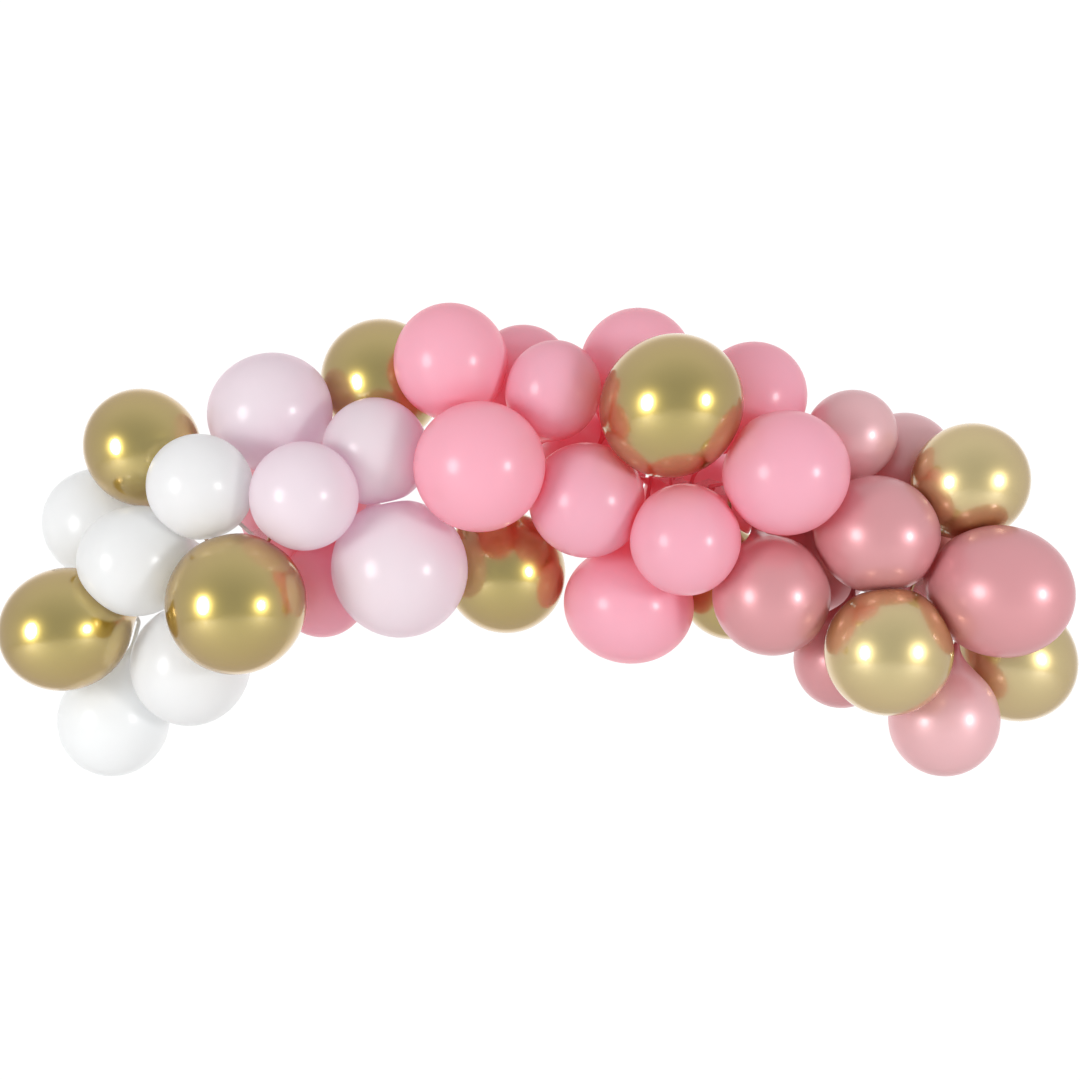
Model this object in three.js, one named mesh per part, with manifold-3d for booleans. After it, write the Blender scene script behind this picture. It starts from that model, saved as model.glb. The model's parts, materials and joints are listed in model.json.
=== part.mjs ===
// Balloon garland: an arch of latex balloons tied along a clear, punched garland strip.
// Millimetres, +Z up. The front of the garland faces -Y and the wall is on the +Y side.
// The origin lies on the strip's back face at the top of the arch, just below its hanging hole.
import * as THREE from "three";
import { mergeVertices } from "three/addons/utils/BufferGeometryUtils.js";
import Module from "manifold-3d";

const wasm = await Module();
wasm.setup();

// The strip: a thin ribbon whose centre line is an arc in the XZ plane.
const ARCH_RADIUS = 1210;
const HOLE_PITCH = 38;
const HOLES_EACH_SIDE = 22;
const STRIP_WIDTH = 30;
const STRIP_THICKNESS = 0.8;
const PATCH_HALF_LENGTH = 8.5; // half of the untwisted patch around each hole
const TAB_HALF_LENGTH = 15; // the same around the last hole at each end
const LARGE_TWIST = 85; // degrees from one patch to the next
const HOLE_SIDES = 6;
const BALLOON_HOLE_RADIUS = 6;
const HANGING_HOLE_RADIUS = 4;
const HANGING_HOLES = [-20, 0, 20]; // these take a line or hook and no balloon
const HANGING_HOLE_RISE = 8; // they sit this far outside the strip's centre line

// Every balloon: a round body that draws in to a neck, which passes through its hole to a knot.
const BODY_SIDES = 10;
const REAR_BODY_SIDES = 8; // for the balloons that lie against the wall
const REAR_SECTOR = 30; // degrees of clock either side of straight back
const BODY_RING_ANGLES = [137, 102, 68, 34]; // degrees from the crown
const TAPER_TIP_RADIUS = 6.5;
const LONGEST_TAPER = 0.34; // as a share of the body's radius
const TAPER_CLEARANCE = 8;
const NECK_SIDES = 5;
const NECK_RADIUS = 4.2;
const NECK_STRAIGHT = 12; // the neck runs straight this far before it leans to its balloon
const NECK_ROOT = 0.85; // the neck ends this share of the way from its bend to the body's centre
const KNOT_RADIUS = 7.5;
const KNOT_LIP_RADIUS = 5.5;
const KNOT_TOP = 1.4;
const KNOT_BOTTOM = 9;
const KNOT_STEP = 0.2; // the knot narrows to the neck within this length
const PRESSED_GAP = 0.6;
const NECK_CLEARANCE = 0.8;
const SLEEVE_RADIUS = 19;
const SLIVER = 0.28; // edges shorter than this, left by the cuts, are closed up

const FINISHES = {
  white: { color: 0xf2f3f4, roughness: 0.32, metalness: 0 },
  gold: { color: 0xa8925c, roughness: 0.28, metalness: 0.9 },
  pale_pink: { color: 0xf0dee8, roughness: 0.32, metalness: 0 },
  pink: { color: 0xfcaabc, roughness: 0.32, metalness: 0 },
  dusty_rose: { color: 0xd898a4, roughness: 0.38, metalness: 0.15 },
};

// The balloons, from the left end to the right.
// hole counts from the middle of the strip; along is the body's own place along the arc.
// clock turns about the strip: 0 is the front, 90 outside the arch, 180 the back, 270 inside.
// reach is from the strip to the body's centre; stretch is the body's length over its width.
const BALLOONS = [
  { colour: "white", hole: -22, along: -1015, clock: 250, reach: 115, diameter: 210 },
  { colour: "gold", hole: -21, along: -925, clock: 30, reach: 110, diameter: 230, stretch: 1.08 },
  { colour: "white", hole: -19, along: -795, clock: 108, reach: 195, diameter: 210 },
  { colour: "white", hole: -18, along: -805, clock: 282, reach: 140, diameter: 222 },
  { colour: "gold", hole: -17, along: -655, clock: 80, reach: 245, diameter: 215 },
  { colour: "white", hole: -16, along: -750, clock: 26, reach: 145, diameter: 205, stretch: 1.07 },
  { colour: "white", hole: -15, along: -590, clock: 34, reach: 200, diameter: 190, stretch: 1.04 },
  { colour: "gold", hole: -14, along: -630, clock: 332, reach: 215, diameter: 250 },
  { colour: "pink", hole: -13, along: -474, clock: 172, reach: 140, diameter: 264 },
  { colour: "pale_pink", hole: -12, along: -455, clock: 86, reach: 200, diameter: 225, stretch: 0.93 },
  { colour: "pale_pink", hole: -11, along: -435, clock: 6, reach: 190, diameter: 195 },
  { colour: "pink", hole: -10, along: -495, clock: 258, reach: 145, diameter: 175 },
  { colour: "pale_pink", hole: -9, along: -315, clock: 300, reach: 175, diameter: 250 },
  { colour: "pale_pink", hole: -8, along: -303, clock: 34, reach: 112, diameter: 198, stretch: 1.05 },
  { colour: "gold", hole: -7, along: -275, clock: 110, reach: 215, diameter: 235 },
  { colour: "pink", hole: -6, along: -125, clock: 0, reach: 175, diameter: 235 },
  { colour: "gold", hole: -5, along: -100, clock: 260, reach: 195, diameter: 230 },
  { colour: "pink", hole: -4, along: -155, clock: 68, reach: 215, diameter: 210 },
  { colour: "pink", hole: -3, along: -45, clock: 108, reach: 185, diameter: 190 },
  { colour: "pink", hole: -2, along: 70, clock: 330, reach: 125, diameter: 210 },
  { colour: "pink", hole: -1, along: 5, clock: 54, reach: 165, diameter: 180, stretch: 1.08 },
  { colour: "pink", hole: 1, along: 80, clock: 176, reach: 115, diameter: 216 },
  { colour: "pink", hole: 2, along: 140, clock: 96, reach: 200, diameter: 215 },
  { colour: "gold", hole: 3, along: 195, clock: 32, reach: 220, diameter: 260, stretch: 1.1 },
  { colour: "pink", hole: 4, along: 300, clock: 192, reach: 140, diameter: 224 },
  { colour: "pink", hole: 5, along: 185, clock: 270, reach: 245, diameter: 230, stretch: 0.9 },
  { colour: "pink", hole: 6, along: 265, clock: 326, reach: 195, diameter: 200 },
  { colour: "pink", hole: 7, along: 330, clock: 86, reach: 180, diameter: 205 },
  { colour: "pink", hole: 8, along: 405, clock: 16, reach: 190, diameter: 225, stretch: 1.04 },
  { colour: "gold", hole: 9, along: 410, clock: 242, reach: 185, diameter: 205 },
  { colour: "dusty_rose", hole: 10, along: 470, clock: 304, reach: 190, diameter: 215 },
  { colour: "dusty_rose", hole: 11, along: 500, clock: 80, reach: 175, diameter: 170 },
  { colour: "dusty_rose", hole: 12, along: 600, clock: 10, reach: 125, diameter: 220, stretch: 1.08 },
  { colour: "dusty_rose", hole: 13, along: 552, clock: 198, reach: 145, diameter: 230 },
  { colour: "dusty_rose", hole: 14, along: 610, clock: 114, reach: 200, diameter: 195 },
  { colour: "dusty_rose", hole: 15, along: 745, clock: 152, reach: 115, diameter: 190 },
  { colour: "dusty_rose", hole: 16, along: 690, clock: 264, reach: 200, diameter: 180 },
  { colour: "gold", hole: 17, along: 695, clock: 68, reach: 210, diameter: 215 },
  { colour: "dusty_rose", hole: 18, along: 825, clock: 20, reach: 165, diameter: 250, stretch: 1.14 },
  { colour: "gold", hole: 19, along: 725, clock: 318, reach: 220, diameter: 230 },
  { colour: "gold", hole: 21, along: 978, clock: 170, reach: 80, diameter: 236, stretch: 1.07 },
  { colour: "dusty_rose", hole: 22, along: 935, clock: 282, reach: 175, diameter: 205 },
];
const ORDINARY_STRETCH = 1.03;

const FRONT = new THREE.Vector3(0, -1, 0);
const UP_THE_LATHE = new THREE.Vector3(0, 1, 0);

// The strip's centre line at a distance along the arc, with its tangent and outward direction.
function archAt(along) {
  const angle = along / ARCH_RADIUS;
  const outward = new THREE.Vector3(Math.sin(angle), 0, Math.cos(angle));
  return {
    point: new THREE.Vector3(
      ARCH_RADIUS * Math.sin(angle),
      -STRIP_THICKNESS / 2,
      ARCH_RADIUS * (Math.cos(angle) - 1),
    ),
    tangent: new THREE.Vector3(Math.cos(angle), 0, -Math.sin(angle)),
    outward,
  };
}

// The direction square to the strip that a clock angle (degrees) points in.
function clockDirection(arch, clock) {
  const turn = THREE.MathUtils.degToRad(clock);
  return FRONT.clone()
    .multiplyScalar(Math.cos(turn))
    .addScaledVector(arch.outward, Math.sin(turn));
}

function clockOf(arch, direction) {
  return THREE.MathUtils.radToDeg(Math.atan2(direction.dot(arch.outward), direction.dot(FRONT)));
}

// A closed three.js geometry, moved by a matrix, as a manifold-3d solid.
function toSolid(geometry, matrix = new THREE.Matrix4()) {
  const bare = geometry.clone().applyMatrix4(matrix);
  bare.deleteAttribute("normal");
  bare.deleteAttribute("uv");
  const merged = mergeVertices(bare, 1e-3);
  return new wasm.Manifold(
    new wasm.Mesh({
      numProp: 3,
      vertProperties: merged.attributes.position.array,
      triVerts: new Uint32Array(merged.index.array),
    }),
  );
}

// A manifold-3d solid as a three.js geometry with flat faces.
function toGeometry(solid) {
  const { vertProperties, triVerts } = solid.getMesh();
  const indexed = new THREE.BufferGeometry()
    .setAttribute("position", new THREE.BufferAttribute(new Float32Array(vertProperties), 3))
    .setIndex(new THREE.BufferAttribute(new Uint32Array(triVerts), 1));
  const flat = indexed.toNonIndexed();
  flat.computeVertexNormals();
  return flat;
}

// A closed tube through rings, each with its own centre, direction and radius.
function ringTube(rings, sides) {
  const spans = rings.length - 1;
  const geometry = new THREE.CylinderGeometry(1, 1, 1, sides, spans);
  const position = geometry.attributes.position;
  const turns = rings.map((ring) =>
    new THREE.Quaternion().setFromUnitVectors(UP_THE_LATHE, ring.direction),
  );
  const vertex = new THREE.Vector3();
  for (let i = 0; i < position.count; i += 1) {
    const index = Math.round((position.getY(i) + 0.5) * spans);
    const ring = rings[index];
    vertex.set(position.getX(i), 0, position.getZ(i));
    vertex.multiplyScalar(ring.radius).applyQuaternion(turns[index]).add(ring.centre);
    position.setXYZ(i, vertex.x, vertex.y, vertex.z);
  }
  return geometry;
}

// Where a balloon's body and neck lie, worked out from its row.
function settle(row) {
  const beside = archAt(row.along);
  const centre = beside.point.clone().addScaledVector(clockDirection(beside, row.clock), row.reach);
  const arch = archAt(row.hole * HOLE_PITCH);
  const across = centre.clone().sub(arch.point);
  across.addScaledVector(arch.tangent, -across.dot(arch.tangent)).normalize();
  const bend = arch.point.clone().addScaledVector(across, NECK_STRAIGHT);
  const axis = centre.clone().sub(bend).normalize();
  const radius = row.diameter / 2;
  const stretch = row.stretch ?? ORDINARY_STRETCH;
  const halfLength = radius * Math.sqrt(stretch);
  const halfWidth = radius / Math.sqrt(stretch);
  const room = centre.distanceTo(bend) - halfLength - TAPER_CLEARANCE;
  const taper = THREE.MathUtils.clamp(room, 1, LONGEST_TAPER * radius);
  const sides = Math.abs(row.clock - 180) < REAR_SECTOR ? REAR_BODY_SIDES : BODY_SIDES;
  return { ...row, arch, across, bend, centre, axis, radius, halfLength, halfWidth, taper, sides };
}

// The round body, with its crown at +Y and its taper ending towards the neck.
function bodyGeometry(balloon) {
  const tip = -balloon.halfLength - balloon.taper;
  const profile = [new THREE.Vector2(0, tip), new THREE.Vector2(TAPER_TIP_RADIUS, tip)];
  for (const degrees of BODY_RING_ANGLES) {
    const angle = THREE.MathUtils.degToRad(degrees);
    const ring = new THREE.Vector2(
      balloon.halfWidth * Math.sin(angle),
      balloon.halfLength * Math.cos(angle),
    );
    profile.push(ring);
  }
  profile.push(new THREE.Vector2(0, balloon.halfLength));
  return new THREE.LatheGeometry(profile, balloon.sides);
}

function bodyMatrix(balloon) {
  const turn = new THREE.Quaternion().setFromUnitVectors(UP_THE_LATHE, balloon.axis);
  return new THREE.Matrix4().compose(balloon.centre, turn, new THREE.Vector3(1, 1, 1));
}

// The knot behind the strip and the neck through its hole, up to the middle of the body.
function neckSolid(balloon, extra = 0) {
  const { arch, across, bend, axis, centre } = balloon;
  const ringAt = (distance, radius) => ({
    centre: arch.point.clone().addScaledVector(across, distance),
    direction: across,
    radius: radius + extra,
  });
  const rings = [
    ringAt(-KNOT_BOTTOM - extra, KNOT_LIP_RADIUS),
    ringAt(-KNOT_TOP, KNOT_RADIUS),
    ringAt(-KNOT_TOP + KNOT_STEP + extra, NECK_RADIUS),
    { centre: bend, direction: across.clone().add(axis).normalize(), radius: NECK_RADIUS + extra },
    { centre: bend.clone().lerp(centre, NECK_ROOT), direction: axis, radius: NECK_RADIUS + extra },
  ];
  return toSolid(ringTube(rings, NECK_SIDES));
}

// The half of space beyond the flat where two pressed balloons meet, as a large block.
function beyondFlat(balloon, neighbour) {
  const towards = neighbour.centre.clone().sub(balloon.centre);
  const distance = towards.length();
  towards.divideScalar(distance);
  const share = (distance ** 2 + balloon.radius ** 2 - neighbour.radius ** 2) / (2 * distance);
  const flat = share - PRESSED_GAP / 2;
  const size = 8 * balloon.radius;
  const turn = new THREE.Quaternion().setFromUnitVectors(UP_THE_LATHE, towards);
  const middle = balloon.centre.clone().addScaledVector(towards, flat + size / 2);
  const block = new THREE.BoxGeometry(size, size, size);
  const matrix = new THREE.Matrix4().compose(middle, turn, new THREE.Vector3(1, 1, 1));
  return toSolid(block, matrix);
}

function touch(solid, other) {
  return solid.intersect(other).volume() > 0;
}

// A balloon as one solid: its body cut back by what it is pressed against, then its neck and knot.
function balloonSolid(balloon, others, stripSleeve) {
  let body = balloon.body;
  for (const other of others) {
    const farthest = 2 * (balloon.radius + other.radius);
    if (balloon.centre.distanceTo(other.centre) < farthest) {
      if (touch(balloon.body, other.body)) {
        body = body.subtract(beyondFlat(balloon, other));
      }
      const neck = neckSolid(other, NECK_CLEARANCE);
      if (touch(body, neck)) {
        body = body.subtract(neck);
      }
    }
  }
  if (touch(body, stripSleeve)) {
    body = body.subtract(stripSleeve);
  }
  return body.add(neckSolid(balloon)).simplify(SLIVER);
}

// The strip's untwisted patches, one at each hole and longer ones, the tabs, at the two ends.
// A patch's turn (degrees) is its face's clock angle.
function stripPatches(balloons) {
  const patches = [];
  let turn = 0;
  for (let hole = -HOLES_EACH_SIDE; hole <= HOLES_EACH_SIDE; hole += 1) {
    const middle = hole * HOLE_PITCH;
    const tied = balloons.find((balloon) => balloon.hole === hole);
    const isForHanging = HANGING_HOLES.includes(hole);
    let target = turn;
    if (isForHanging) {
      target = 0;
    } else if (tied) {
      target = clockOf(tied.arch, tied.across);
    }
    turn += THREE.MathUtils.euclideanModulo(target - turn + 90, 180) - 90;
    const half = Math.abs(hole) === HOLES_EACH_SIDE ? TAB_HALF_LENGTH : PATCH_HALF_LENGTH;
    const punched = { x: middle, y: 0, radius: BALLOON_HOLE_RADIUS };
    if (isForHanging) {
      punched.y = Math.round(Math.cos(THREE.MathUtils.degToRad(turn))) * HANGING_HOLE_RISE;
      punched.radius = HANGING_HOLE_RADIUS;
    }
    patches.push({ arch: archAt(middle), middle, from: middle - half, to: middle + half, turn, punched });
  }
  return patches;
}

// A stretch of the strip laid out flat along X, with its end faces left off.
function flatStretch(from, to, punched) {
  const corners = [
    [from, -1],
    [to, -1],
    [to, 1],
    [from, 1],
  ];
  const outline = new THREE.Shape(corners.map(([x, y]) => new THREE.Vector2(x, (y * STRIP_WIDTH) / 2)));
  if (punched) {
    const rim = [];
    for (let i = 0; i < HOLE_SIDES; i += 1) {
      const angle = (-2 * Math.PI * i) / HOLE_SIDES;
      const x = punched.x + punched.radius * Math.cos(angle);
      rim.push(new THREE.Vector2(x, punched.y + punched.radius * Math.sin(angle)));
    }
    outline.holes.push(new THREE.Path(rim));
  }
  const plate = new THREE.ExtrudeGeometry(outline, { depth: STRIP_THICKNESS, bevelEnabled: false });
  const { array } = plate.attributes.position;
  const kept = [];
  for (let i = 0; i < array.length; i += 9) {
    const isEndFace = array[i] === array[i + 3] && array[i] === array[i + 6];
    if (!isEndFace) {
      kept.push(...array.subarray(i, i + 9));
    }
  }
  return kept;
}

// The two triangles that close the strip at one of its ends.
function endFace(x, direction) {
  const corner = (y, z) => [x, (y * STRIP_WIDTH) / 2, z * STRIP_THICKNESS];
  return direction > 0
    ? [corner(-1, 0), corner(1, 0), corner(1, 1), corner(-1, 0), corner(1, 1), corner(-1, 1)].flat()
    : [corner(-1, 0), corner(1, 1), corner(1, 0), corner(-1, 0), corner(-1, 1), corner(1, 1)].flat();
}

// Where a point of the flat strip lies once the strip is bent along the arc and twisted.
function bendAndTwist(flat, patches) {
  const patch = patches.find(({ from, to }) => flat.x >= from - 0.01 && flat.x <= to + 0.01);
  const place = new THREE.Vector3();
  let arch;
  let turn;
  if (patch) {
    arch = patch.arch;
    turn = patch.turn;
    place.copy(arch.point).addScaledVector(arch.tangent, flat.x - patch.middle);
  } else {
    const next = patches.findIndex(({ from }) => from > flat.x);
    arch = archAt(flat.x);
    turn = (patches[next - 1].turn + patches[next].turn) / 2;
    place.copy(arch.point);
  }
  const normal = clockDirection(arch, turn);
  const side = normal.clone().cross(arch.tangent);
  return place
    .addScaledVector(side, flat.y)
    .addScaledVector(normal, flat.z - STRIP_THICKNESS / 2);
}

// The garland strip: flat stretches with their holes, joined end to end, then bent and twisted.
function stripGeometry(balloons) {
  const patches = stripPatches(balloons);
  const flat = [];
  patches.forEach((patch, i) => {
    flat.push(...flatStretch(patch.from, patch.to, patch.punched));
    const next = patches[i + 1];
    if (next && Math.abs(next.turn - patch.turn) > LARGE_TWIST) {
      const halfway = (patch.to + next.from) / 2;
      flat.push(...flatStretch(patch.to, halfway), ...flatStretch(halfway, next.from));
    } else if (next) {
      flat.push(...flatStretch(patch.to, next.from));
    }
  });
  flat.push(...endFace(patches[0].from, -1), ...endFace(patches.at(-1).to, 1));
  const position = new THREE.BufferAttribute(new Float32Array(flat), 3);
  const point = new THREE.Vector3();
  for (let i = 0; i < position.count; i += 1) {
    point.copy(bendAndTwist(point.fromBufferAttribute(position, i), patches));
    position.setXYZ(i, point.x, point.y, point.z);
  }
  const geometry = new THREE.BufferGeometry().setAttribute("position", position);
  geometry.computeVertexNormals();
  return geometry;
}

// A round sleeve about the strip that every balloon's body keeps out of.
function stripSleeveSolid() {
  const rings = [];
  const steps = HOLES_EACH_SIDE;
  const end = HOLES_EACH_SIDE * HOLE_PITCH + TAB_HALF_LENGTH + 1;
  for (let i = 0; i <= steps; i += 1) {
    const arch = archAt(end * ((2 * i) / steps - 1));
    rings.push({ centre: arch.point, direction: arch.tangent, radius: SLEEVE_RADIUS });
  }
  return toSolid(ringTube(rings, HOLE_SIDES));
}

function materialOf(colour) {
  return new THREE.MeshStandardMaterial({ name: colour, ...FINISHES[colour] });
}

const garland = new THREE.Group();
garland.name = "balloon_garland";

const settled = BALLOONS.map(settle);
for (const balloon of settled) {
  balloon.body = toSolid(bodyGeometry(balloon), bodyMatrix(balloon));
}
const stripSleeve = stripSleeveSolid();
const materials = Object.fromEntries(Object.keys(FINISHES).map((name) => [name, materialOf(name)]));
const counts = {};
for (const balloon of settled) {
  const others = settled.filter((other) => other !== balloon);
  const solid = balloonSolid(balloon, others, stripSleeve);
  const matrix = bodyMatrix(balloon);
  const geometry = toGeometry(solid).applyMatrix4(matrix.clone().invert());
  const mesh = new THREE.Mesh(geometry, materials[balloon.colour]);
  mesh.applyMatrix4(matrix);
  counts[balloon.colour] = (counts[balloon.colour] ?? 0) + 1;
  mesh.name = `balloon_${balloon.colour}_${counts[balloon.colour]}`;
  garland.add(mesh);
}

const clearPlastic = new THREE.MeshStandardMaterial({
  name: "clear_strip",
  color: 0xe6ebee,
  roughness: 0.25,
  metalness: 0,
  transparent: true,
  opacity: 0.35,
});
const strip = new THREE.Mesh(stripGeometry(settled), clearPlastic);
strip.name = "garland_strip";
garland.add(strip);

export default garland;
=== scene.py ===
import json
import math

import bmesh
import bpy
import numpy as np
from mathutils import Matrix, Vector


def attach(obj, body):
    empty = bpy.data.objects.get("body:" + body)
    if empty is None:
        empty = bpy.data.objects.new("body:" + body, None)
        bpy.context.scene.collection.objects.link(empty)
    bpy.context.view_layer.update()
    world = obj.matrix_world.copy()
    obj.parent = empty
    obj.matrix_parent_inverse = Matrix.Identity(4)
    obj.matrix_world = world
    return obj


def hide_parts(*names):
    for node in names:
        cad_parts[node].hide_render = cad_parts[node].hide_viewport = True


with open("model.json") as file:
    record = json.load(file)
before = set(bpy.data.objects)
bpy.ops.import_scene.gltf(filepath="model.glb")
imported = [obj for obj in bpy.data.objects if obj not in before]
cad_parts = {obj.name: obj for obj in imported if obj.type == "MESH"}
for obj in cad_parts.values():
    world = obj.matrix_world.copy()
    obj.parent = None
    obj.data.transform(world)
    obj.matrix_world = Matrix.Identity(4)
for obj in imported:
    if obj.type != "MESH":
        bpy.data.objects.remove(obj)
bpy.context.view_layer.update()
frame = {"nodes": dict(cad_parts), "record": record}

# The strip and the knots as the CAD part has them, in metres.
ARCH_RADIUS = 1.210
STRIP_MIDDLE_Y = -0.0004
STRIP_SLEEVE = 0.019
STRIP_END = 0.850  # along the arc, just inside the strip's end
NECK_ZONE = 0.016  # only necks and knots come this close to the strip's middle line
KNOT_BOTTOM = 0.009
NECK_STRAIGHT = 0.012  # a neck runs straight this far before it bends towards its balloon
TAPER_TIP_RADIUS = 0.0065
LONGEST_TAPER = 0.34  # as a share of the body's radius
TAPER_CLEARANCE = 0.008

# Heights from the hole, along the neck, that part a CAD node's knot and neck points.
KNOT_MIDDLE = -0.005
ABOVE_KNOT = 0.004

# How an ellipsoid is fitted to a CAD body: ever less weight on the points that miss it.
FIT_SOFTNESS = np.geomspace(4e-3, 2e-6, 60)
FIT_LARGEST_CHANGE = 0.02
FIT_PROBE = 1e-6

# How finely a balloon is drawn.
SEGMENTS = 80
BODY_RINGS = 62
TAPER_RINGS = 12
NECK_RINGS = 8
BEND_RINGS = 7
TAPER_FROM = math.radians(137)  # the round body ends at this angle from its crown
CROWN_FROM = math.radians(6)  # the rings lie closer together from here to the crown
CROWN_RINGS = 7
NECK_RADIUS = 0.0036
NECK_FLARE = 0.007
AFTER_BEND = 0.006  # the neck's straight rings start this far past the bend
FIRST_CORNER_WAY = [0.3, 0.5, 0.8]  # the rings' corners are counted from this side

# Which way the outline leaves the neck, as (along, outward), with a full taper and with none.
FULL_TAPER_WAY = np.array([1.0, 0.28])
NO_TAPER_WAY = np.array([0.4, 1.0])

# The knot and its rolled lip, as (distance from the hole along the neck, radius), in metres.
KNOT_PROFILE = [
    (-0.0108, 0.0001),
    (-0.0120, 0.0028),
    (-0.0150, 0.0044),
    (-0.0166, 0.0050),
    (-0.0174, 0.0057),
    (-0.0176, 0.0065),
    (-0.0171, 0.0073),
    (-0.0161, 0.0074),
    (-0.0155, 0.0068),
    (-0.0140, 0.0052),
    (-0.0118, 0.0037),
    (-0.0105, 0.0033),
    (-0.0097, 0.0042),
    (-0.0086, 0.0060),
    (-0.0068, 0.0072),
    (-0.0046, 0.0075),
    (-0.0029, 0.0068),
    (-0.0018, 0.0052),
    (-0.0012, 0.0041),
    (-0.0002, NECK_RADIUS),
    (0.0040, NECK_RADIUS),
]

# Where balloons press on each other.
CONTACT_ROUNDING = 0.0032
CONTACT_GAP = 0.0004
CONTACT_REACH = 0.004
TIP_HOLD = 0.018  # the taper's end keeps its place over this length


def points_of(node):
    """A CAD node's corner points, each once."""
    mesh = bmesh.new()
    mesh.from_mesh(frame["nodes"][node].data)
    bmesh.ops.remove_doubles(mesh, verts=mesh.verts, dist=1e-5)
    points = np.array([v.co for v in mesh.verts], float)
    mesh.free()
    return points


def unit(v):
    return v / np.linalg.norm(v)


def from_strip(points):
    """Each point's way from the strip's middle line, as a vector, and its place along the line."""
    outward = points - np.array([0.0, 0.0, -ARCH_RADIUS])
    outward[:, 1] = 0
    outward /= np.linalg.norm(outward, axis=1)[:, None]
    on_line = outward * ARCH_RADIUS
    on_line += np.array([0.0, STRIP_MIDDLE_Y, -ARCH_RADIUS])
    along = ARCH_RADIUS * np.arctan2(outward[:, 0], outward[:, 2])
    return points - on_line, along


def ellipsoid_misses(values, bend, points):
    """How far points lie outside the round body, along its radius."""
    centre, half_length, half_width = values[:3], values[3], values[4]
    axis = unit(centre - bend)
    offset = points - centre
    up = offset @ axis
    out = np.linalg.norm(offset - up[:, None] * axis, axis=1)
    return (np.hypot(up / half_length, out / half_width) - 1) * half_width


def closest_fit(values, bend, points):
    """Moves the ellipsoid until most of the points lie on it."""
    for softness in FIT_SOFTNESS:
        misses = ellipsoid_misses(values, bend, points)
        slopes = np.empty((len(points), 5))
        for i in range(5):
            moved = values.copy()
            moved[i] += FIT_PROBE
            slopes[:, i] = (ellipsoid_misses(moved, bend, points) - misses) / FIT_PROBE
        root_weight = 1 / np.hypot(misses, softness)
        change = np.linalg.lstsq(slopes * root_weight[:, None], -misses * root_weight, rcond=None)[0]
        values = values + np.clip(change, -FIT_LARGEST_CHANGE, FIT_LARGEST_CHANGE)
    return values


def fit_ellipsoid(points, bend):
    """The ellipsoid about an axis through bend that the most points lie on."""
    middle = (points.min(0) + points.max(0)) / 2
    rough_axis = unit(middle - bend)
    up = (points - middle) @ rough_axis
    out = np.linalg.norm(points - middle - up[:, None] * rough_axis, axis=1)
    points = points[(out > TAPER_TIP_RADIUS * 2) | (up > 0)]
    size = out.max()
    start = np.array([*(middle + rough_axis * (up.max() - size)), size, size])
    return closest_fit(start, bend, points)


class Balloon:
    """One balloon's shape, read from its CAD node."""

    def __init__(self, node):
        self.node = node
        points = points_of(node)
        away, along = from_strip(points)
        is_neck = (np.linalg.norm(away, axis=1) < NECK_ZONE) & (np.abs(along) < STRIP_END)
        body, neck = points[~is_neck], points[is_neck]
        rough_hole = (neck - away[is_neck]).mean(0)
        tangent = unit(np.cross([0, 1, 0], rough_hole + np.array([0, 0, ARCH_RADIUS])))
        rough_across = (body.min(0) + body.max(0)) / 2 - rough_hole
        rough_across = unit(rough_across - (rough_across @ tangent) * tangent)
        height = (neck - rough_hole) @ rough_across
        bottom = neck[height < KNOT_MIDDLE].mean(0)
        top = neck[(height > KNOT_MIDDLE) & (height < ABOVE_KNOT)].mean(0)
        self.across = unit(top - bottom)
        self.hole = bottom + self.across * KNOT_BOTTOM
        self.bend = self.hole + self.across * NECK_STRAIGHT
        fitted = fit_ellipsoid(body, self.bend)
        self.centre = fitted[:3]
        self.half_length, self.half_width = fitted[3], fitted[4]
        self.radius = math.sqrt(self.half_length * self.half_width)
        self.axis = unit(self.centre - self.bend)
        self.reach = np.linalg.norm(self.centre - self.bend)
        room = self.reach - self.half_length - TAPER_CLEARANCE
        self.taper = min(max(room, 0.001), LONGEST_TAPER * self.radius)
        self.tip = -self.half_length - self.taper


def hermite(start, end, start_way, end_way, shares):
    """Points on a smooth curve from start to end."""
    t = shares[:, None]
    return (
        (2 * t**3 - 3 * t**2 + 1) * start
        + (t**3 - 2 * t**2 + t) * start_way
        + (3 * t**2 - 2 * t**3) * end
        + (t**3 - t**2) * end_way
    )


def axis_profile(b):
    """The body's outline from the neck's bend to the crown, as rows of (place along the axis, radius)."""
    start = -b.reach + AFTER_BEND
    neck_places = np.linspace(start, b.tip, NECK_RINGS, endpoint=False)
    flare = np.exp(-(b.tip - neck_places) / NECK_FLARE)
    neck = np.column_stack([neck_places, NECK_RADIUS + (TAPER_TIP_RADIUS - NECK_RADIUS) * flare])
    tip = np.array([b.tip, TAPER_TIP_RADIUS])
    shoulder = np.array([b.half_length * math.cos(TAPER_FROM), b.half_width * math.sin(TAPER_FROM)])
    chord = np.linalg.norm(shoulder - tip)
    length_share = b.taper / (LONGEST_TAPER * b.radius)
    tip_way = unit(length_share * FULL_TAPER_WAY + (1 - length_share) * NO_TAPER_WAY)
    shoulder_way = unit(
        np.array([b.half_length * math.sin(TAPER_FROM), -b.half_width * math.cos(TAPER_FROM)])
    )
    shares = np.linspace(0, 1, TAPER_RINGS, endpoint=False)
    taper = hermite(tip, shoulder, tip_way * chord, shoulder_way * chord, shares)
    round_angles = np.linspace(TAPER_FROM, CROWN_FROM, BODY_RINGS, endpoint=False)
    crown_angles = np.linspace(CROWN_FROM, 0, CROWN_RINGS, endpoint=False)
    angles = np.concatenate([round_angles, crown_angles])
    body = np.column_stack([b.half_length * np.cos(angles), b.half_width * np.sin(angles)])
    return np.vstack([neck, taper, body])


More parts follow.
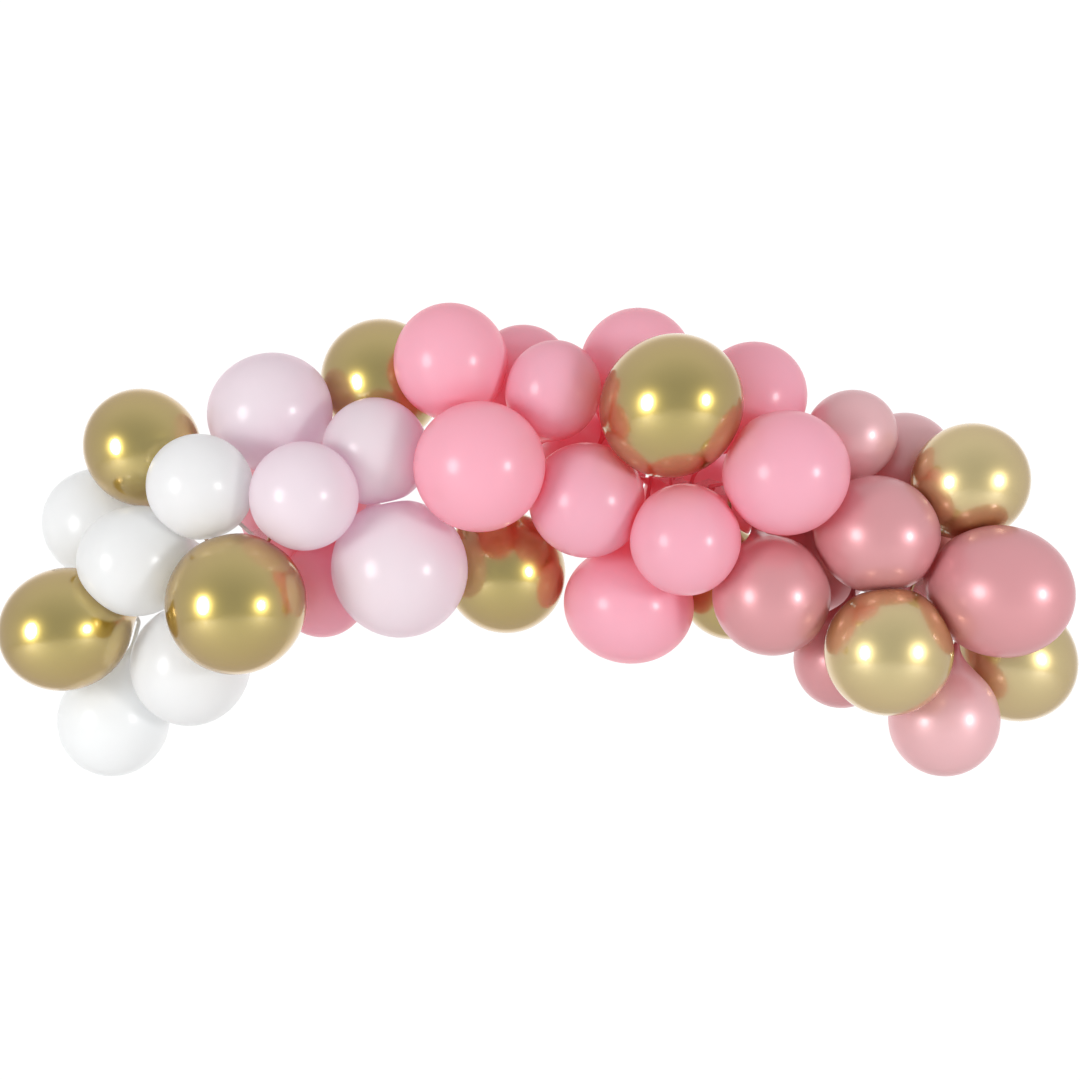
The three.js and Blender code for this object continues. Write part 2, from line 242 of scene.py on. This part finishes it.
def skeleton(b):
    """The balloon as rings: centres, directions, radii, and how much each belongs to the body."""
    centres, ways, radii, holds = [], [], [], []
    for distance, radius in KNOT_PROFILE:
        centres.append(b.hole + b.across * distance)
        ways.append(b.across)
        radii.append(radius)
        holds.append(0.0)
    profile = axis_profile(b)
    bend_start = centres[-1]
    bend_end = b.centre + b.axis * profile[0, 0]
    for share in np.linspace(0, 1, BEND_RINGS + 2)[1:-1]:
        first = bend_start + (b.bend - bend_start) * share
        second = b.bend + (bend_end - b.bend) * share
        centres.append(first + (second - first) * share)
        ways.append(unit(b.across * (1 - share) + b.axis * share))
        radii.append(NECK_RADIUS)
        holds.append(0.0)
    for place, radius in profile:
        centres.append(b.centre + b.axis * place)
        ways.append(b.axis)
        radii.append(radius)
        from_tip = min(max((place - b.tip) / TIP_HOLD, 0), 1)
        holds.append(from_tip**2 * (3 - 2 * from_tip))
    return np.array(centres), np.array(ways), np.array(radii), np.array(holds)


def surface(b):
    """The balloon's points ring by ring, before it is pressed by anything."""
    centres, ways, radii, holds = skeleton(b)
    side = unit(np.cross(b.across, FIRST_CORNER_WAY))
    turns = np.linspace(0, 2 * math.pi, SEGMENTS, endpoint=False)
    rings = []
    for centre, way, radius in zip(centres, ways, radii):
        side = unit(side - (side @ way) * way)
        other = np.cross(way, side)
        around = np.outer(np.cos(turns), side) + np.outer(np.sin(turns), other)
        rings.append(centre + radius * around)
    return np.vstack(rings), np.repeat(holds, SEGMENTS)


def press(b, points, holds, balloons):
    """Flattens the body where it meets its neighbours and pushes it away from the strip."""
    for other in balloons:
        gap = other.centre - b.centre
        distance = np.linalg.norm(gap)
        if other is b or distance > b.radius + other.radius + CONTACT_REACH:
            continue
        way = gap / distance
        share = (distance**2 + b.radius**2 - other.radius**2) / (2 * distance)
        beyond = (points - b.centre) @ way - (share - CONTACT_GAP)
        flat = -CONTACT_ROUNDING * np.logaddexp(0, -beyond / CONTACT_ROUNDING)
        points = points + np.outer((flat - beyond) * holds, way)
    away, along = from_strip(points)
    distance = np.linalg.norm(away, axis=1)
    near = (distance < STRIP_SLEEVE) & (np.abs(along) < STRIP_END) & (holds > 0)
    push = np.where(near, (STRIP_SLEEVE / np.maximum(distance, 1e-4) - 1) * holds, 0)
    return points + away * push[:, None]


def build_balloon(b, balloons):
    """The balloon's mesh object."""
    points, holds = surface(b)
    points = press(b, points, holds, balloons)
    ring_count = len(points) // SEGMENTS
    start_pole = len(points)
    end_pole = start_pole + 1
    ends = [points[:SEGMENTS].mean(0), points[-SEGMENTS:].mean(0)]
    vertices = np.vstack([points, ends])
    faces = []
    for ring in range(ring_count - 1):
        for i in range(SEGMENTS):
            j = (i + 1) % SEGMENTS
            low, high = ring * SEGMENTS, (ring + 1) * SEGMENTS
            faces.append((low + i, low + j, high + j, high + i))
    last = (ring_count - 1) * SEGMENTS
    for i in range(SEGMENTS):
        j = (i + 1) % SEGMENTS
        faces.append((j, i, start_pole))
        faces.append((last + i, last + j, end_pole))
    mesh = bpy.data.meshes.new(b.node + "_skin")
    mesh.from_pydata(vertices.tolist(), [], faces)
    mesh.shade_smooth()
    place = (vertices - b.centre) @ b.axis / b.half_length
    attribute = mesh.attributes.new("along", "FLOAT", "POINT")
    attribute.data.foreach_set("value", place.astype(np.float32))
    obj = bpy.data.objects.new(b.node + "_skin", mesh)
    bpy.context.scene.collection.objects.link(obj)
    return obj


# ---- Materials ----


def new_material(name):
    material = bpy.data.materials.new(name)
    material.use_nodes = True
    nodes = material.node_tree.nodes
    nodes.clear()
    shader = nodes.new("ShaderNodeBsdfPrincipled")
    output = nodes.new("ShaderNodeOutputMaterial")
    material.node_tree.links.new(shader.outputs["BSDF"], output.inputs["Surface"])
    return material, nodes, material.node_tree.links, shader


def linear(rgb):
    """An 8-bit display colour as the linear colour that a shader takes."""
    values = []
    for part in rgb:
        share = part / 255
        values.append(share / 12.92 if share <= 0.04045 else ((share + 0.055) / 1.055) ** 2.4)
    return (*values, 1.0)


# The skin's faint unevenness, and where along the body it is thick and where thin.
MOTTLE_SCALE = 25
MOTTLE_DETAIL = 2
ROUGHNESS_SPREAD = 0.03  # either way, as a share of the roughness
ALONG_LOW = -1.5  # in half lengths from the body's middle, the crown being at 1
ALONG_HIGH = 1.0
THICK_UNTIL = 0.10  # shares of the way from ALONG_LOW to ALONG_HIGH
THIN_FROM = 0.30


def uneven(nodes, links, roughness):
    """The roughness, varied a little over the skin."""
    coordinates = nodes.new("ShaderNodeTexCoord")
    mottle = nodes.new("ShaderNodeTexNoise")
    mottle.inputs["Scale"].default_value = MOTTLE_SCALE
    mottle.inputs["Detail"].default_value = MOTTLE_DETAIL
    spread = nodes.new("ShaderNodeMapRange")
    spread.inputs["To Min"].default_value = roughness * (1 - ROUGHNESS_SPREAD)
    spread.inputs["To Max"].default_value = roughness * (1 + ROUGHNESS_SPREAD)
    links.new(coordinates.outputs["Object"], mottle.inputs["Vector"])
    links.new(mottle.outputs["Fac"], spread.inputs["Value"])
    return spread.outputs["Result"]


def skin_colour(nodes, links, thin, thick):
    """The latex's colour, which deepens towards the neck, where the skin is thick."""
    place = nodes.new("ShaderNodeAttribute")
    place.attribute_name = "along"
    share = nodes.new("ShaderNodeMapRange")
    share.inputs["From Min"].default_value = ALONG_LOW
    share.inputs["From Max"].default_value = ALONG_HIGH
    ramp = nodes.new("ShaderNodeValToRGB")
    ramp.color_ramp.elements[0].position = THICK_UNTIL
    ramp.color_ramp.elements[0].color = linear(thick)
    ramp.color_ramp.elements[1].position = THIN_FROM
    ramp.color_ramp.elements[1].color = linear(thin)
    links.new(place.outputs["Fac"], share.inputs["Value"])
    links.new(share.outputs["Result"], ramp.inputs["Fac"])
    return ramp.outputs["Color"]


def latex(name, thin, thick, glow, roughness, through, metallic=0.0):
    """Stretched latex. The share of light that comes through the skin is through, and it
    leaves the skin in the glow colour."""
    material, nodes, links, shader = new_material(name)
    colour = skin_colour(nodes, links, thin, thick)
    links.new(colour, shader.inputs["Base Color"])
    links.new(uneven(nodes, links, roughness), shader.inputs["Roughness"])
    shader.inputs["Metallic"].default_value = metallic
    shader.inputs["Coat Weight"].default_value = 0.35
    shader.inputs["Coat Roughness"].default_value = 0.16
    lit_from_within = nodes.new("ShaderNodeBsdfTranslucent")
    lit_from_within.inputs["Color"].default_value = linear(glow)
    mix = nodes.new("ShaderNodeMixShader")
    mix.inputs["Fac"].default_value = through
    links.new(shader.outputs["BSDF"], mix.inputs[1])
    links.new(lit_from_within.outputs["BSDF"], mix.inputs[2])
    links.new(mix.outputs["Shader"], nodes["Material Output"].inputs["Surface"])
    return material


def metallic_latex(name, facing, edge, thick, roughness, metallic):
    """Chrome latex, warmer in colour where it is seen at a slant."""
    material, nodes, links, shader = new_material(name)
    slant = nodes.new("ShaderNodeLayerWeight")
    slant.inputs["Blend"].default_value = 0.5
    mix = nodes.new("ShaderNodeMix")
    mix.data_type = "RGBA"
    colour_in = [socket for socket in mix.inputs if socket.type == "RGBA"]
    colour_out = [socket for socket in mix.outputs if socket.type == "RGBA"]
    links.new(slant.outputs["Facing"], mix.inputs["Factor"])
    links.new(skin_colour(nodes, links, facing, thick), colour_in[0])
    colour_in[1].default_value = linear(edge)
    links.new(colour_out[0], shader.inputs["Base Color"])
    links.new(uneven(nodes, links, roughness), shader.inputs["Roughness"])
    shader.inputs["Metallic"].default_value = metallic
    shader.inputs["Specular Tint"].default_value = linear((226, 206, 166))
    shader.inputs["Coat Weight"].default_value = 1.0
    shader.inputs["Coat IOR"].default_value = 2.1
    shader.inputs["Coat Roughness"].default_value = 0.12
    return material


def clear_plastic(name):
    """Thin clear tape: mostly see-through, with a soft shine."""
    material, nodes, links, shader = new_material(name)
    shader.inputs["Base Color"].default_value = linear((232, 236, 238))
    shader.inputs["Roughness"].default_value = 0.2
    clear = nodes.new("ShaderNodeBsdfTransparent")
    mix = nodes.new("ShaderNodeMixShader")
    edge = nodes.new("ShaderNodeLayerWeight")
    edge.inputs["Blend"].default_value = 0.3
    amount = nodes.new("ShaderNodeMapRange")
    amount.inputs["To Min"].default_value = 0.1
    amount.inputs["To Max"].default_value = 0.4
    links.new(edge.outputs["Facing"], amount.inputs["Value"])
    links.new(amount.outputs["Result"], mix.inputs["Fac"])
    links.new(clear.outputs["BSDF"], mix.inputs[1])
    links.new(shader.outputs["BSDF"], mix.inputs[2])
    links.new(mix.outputs["Shader"], nodes["Material Output"].inputs["Surface"])
    return material


# name: thin, thick and glow colours, roughness, share of light through, metallic
LATEX = {
    "white": ((250, 252, 253), (240, 238, 230), (250, 251, 252), 0.3, 0.45, 0.0),
    "pale_pink": ((248, 253, 255), (240, 200, 212), (250, 214, 231), 0.3, 0.45, 0.0),
    "pink": ((255, 212, 234), (248, 130, 154), (255, 146, 152), 0.3, 0.45, 0.0),
    "dusty_rose": ((234, 170, 176), (196, 116, 126), (226, 122, 122), 0.36, 0.24, 0.25),
    "light_rose": ((248, 204, 209), (205, 128, 138), (235, 150, 152), 0.38, 0.26, 0.25),
}

# name: colours seen squarely, at a slant and where thick, roughness, metallic
METALLIC_LATEX = {
    "gold": ((190, 168, 80), (188, 150, 84), (170, 140, 84), 0.28, 1.0),
    "pale_gold": ((213, 193, 131), (204, 171, 110), (180, 150, 96), 0.33, 0.85),
}

FINISHES = {"clear_strip": clear_plastic("clear_tape")}
for name, look in LATEX.items():
    FINISHES[name] = latex(name + "_latex", *look)
for name, look in METALLIC_LATEX.items():
    FINISHES[name] = metallic_latex(name + "_latex", *look)

# Single balloons drawn lighter than the others of their colour.
LIGHTER_BALLOONS = {
    "balloon_dusty_rose_2": "light_rose",
    "balloon_dusty_rose_5": "light_rose",
    "balloon_dusty_rose_9": "light_rose",
    "balloon_gold_8": "pale_gold",
    "balloon_gold_9": "pale_gold",
    "balloon_gold_10": "pale_gold",
}


# ---- The garland ----

slots = {part["node"]: part["material_slot"] for part in frame["record"]["subparts"]}
balloons = [Balloon(node) for node, slot in slots.items() if slot != "clear_strip"]
for b in balloons:
    skin = build_balloon(b, balloons)
    skin.data.materials.append(FINISHES[LIGHTER_BALLOONS.get(b.node, slots[b.node])])
    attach(skin, "root")
    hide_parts(b.node)

strip = frame["nodes"]["garland_strip"]
strip.data.materials.clear()
strip.data.materials.append(FINISHES["clear_strip"])

# ---- Floor, light and camera ----

FLOOR_DROP = 1.75  # the floor lies this far below the arch's top
FLOOR_BACK = 1.5  # and ends this far behind it, out of the camera's sight
FLOOR_FRONT = 7.0
FLOOR_SIDE = 6.0

floor_corners = [
    (-FLOOR_SIDE, -FLOOR_FRONT, -FLOOR_DROP),
    (FLOOR_SIDE, -FLOOR_FRONT, -FLOOR_DROP),
    (FLOOR_SIDE, FLOOR_BACK, -FLOOR_DROP),
    (-FLOOR_SIDE, FLOOR_BACK, -FLOOR_DROP),
]
floor_mesh = bpy.data.meshes.new("floor")
floor_mesh.from_pydata(floor_corners, [], [(0, 1, 2, 3)])
floor = bpy.data.objects.new("floor", floor_mesh)
bpy.context.scene.collection.objects.link(floor)
floor_material, _, _, floor_shader = new_material("pale_floor")
floor_shader.inputs["Base Color"].default_value = linear((232, 231, 229))
floor_shader.inputs["Roughness"].default_value = 0.7
floor_mesh.materials.append(floor_material)

EYE_DISTANCE = 3.4
EYE_SIDE = -0.018
EYE_HEIGHT = -0.136
VIEW_HALF_WIDTH = 1.0044  # at the strip's distance

camera_data = bpy.data.cameras.new("camera")
camera_data.sensor_width = 36
camera_data.lens = camera_data.sensor_width / 2 * EYE_DISTANCE / VIEW_HALF_WIDTH
camera = bpy.data.objects.new("camera", camera_data)
bpy.context.scene.collection.objects.link(camera)
camera.location = (EYE_SIDE, -EYE_DISTANCE, EYE_HEIGHT)
camera.rotation_euler = (math.radians(90), 0, 0)
bpy.context.scene.camera = camera

# name, place, width, height, power
SOFTBOXES = [
    ("softbox_left", Vector((-3.6, -3.4, EYE_HEIGHT)), 1.6, 2.0, 104.0),
    ("softbox_right", Vector((3.9, -3.7, EYE_HEIGHT)), 1.0, 1.2, 94.0),
]
for name, place, width, height, power in SOFTBOXES:
    lamp = bpy.data.lights.new(name, "AREA")
    lamp.shape = "ELLIPSE"
    lamp.size = width
    lamp.size_y = height
    lamp.energy = power
    lamp_object = bpy.data.objects.new(name, lamp)
    bpy.context.scene.collection.objects.link(lamp_object)
    lamp_object.location = place
    aim = Vector((0, 0, EYE_HEIGHT)) - place
    lamp_object.rotation_euler = aim.to_track_quat("-Z", "Y").to_euler()
    lamp_object.visible_camera = False

# The studio's own light: dim behind the camera, white behind the garland, and a little brighter
# from overhead and from below.
DEPTH_LEVELS = [(-1.0, 0.47), (-0.7, 0.52), (-0.2, 0.66), (0.5, 0.68), (0.65, 0.74), (0.85, 1.2)]
HEIGHT_LEVELS = [(-0.9, 0.18), (-0.3, 0.04), (0.4, 0.02), (0.8, 0.1), (1.0, 0.12)]

world = bpy.data.worlds.new("studio")
bpy.context.scene.world = world
world.use_nodes = True
world_nodes = world.node_tree.nodes
world_links = world.node_tree.links
world_nodes.clear()
direction = world_nodes.new("ShaderNodeTexCoord")
parts = world_nodes.new("ShaderNodeSeparateXYZ")
world_links.new(direction.outputs["Generated"], parts.inputs["Vector"])


def brightness(part, levels):
    """The light's level by one part of its direction, from -1 to 1, as (position, level) pairs."""
    share = world_nodes.new("ShaderNodeMapRange")
    share.inputs["From Min"].default_value = -1
    world_links.new(parts.outputs[part], share.inputs["Value"])
    ramp = world_nodes.new("ShaderNodeValToRGB")
    world_links.new(share.outputs["Result"], ramp.inputs["Fac"])
    elements = ramp.color_ramp.elements
    while len(elements) < len(levels):
        elements.new(0.5)
    for element, (place, level) in zip(elements, levels):
        element.position = (place + 1) / 2
        element.color = (level, level, level, 1)
    return ramp.outputs["Color"]


total = world_nodes.new("ShaderNodeVectorMath")
total.operation = "ADD"
world_links.new(brightness("Y", DEPTH_LEVELS), total.inputs[0])
world_links.new(brightness("Z", HEIGHT_LEVELS), total.inputs[1])
lighting = world_nodes.new("ShaderNodeBackground")
world_links.new(total.outputs["Vector"], lighting.inputs["Color"])
lighting.inputs["Strength"].default_value = 1.0
backdrop = world_nodes.new("ShaderNodeBackground")
backdrop.inputs["Color"].default_value = (1, 1, 1, 1)
backdrop.inputs["Strength"].default_value = 1.05
path = world_nodes.new("ShaderNodeLightPath")
choose = world_nodes.new("ShaderNodeMixShader")
world_output = world_nodes.new("ShaderNodeOutputWorld")
world_links.new(path.outputs["Is Camera Ray"], choose.inputs["Fac"])
world_links.new(lighting.outputs["Background"], choose.inputs[1])
world_links.new(backdrop.outputs["Background"], choose.inputs[2])
world_links.new(choose.outputs["Shader"], world_output.inputs["Surface"])

bpy.context.scene.view_settings.view_transform = "Standard"
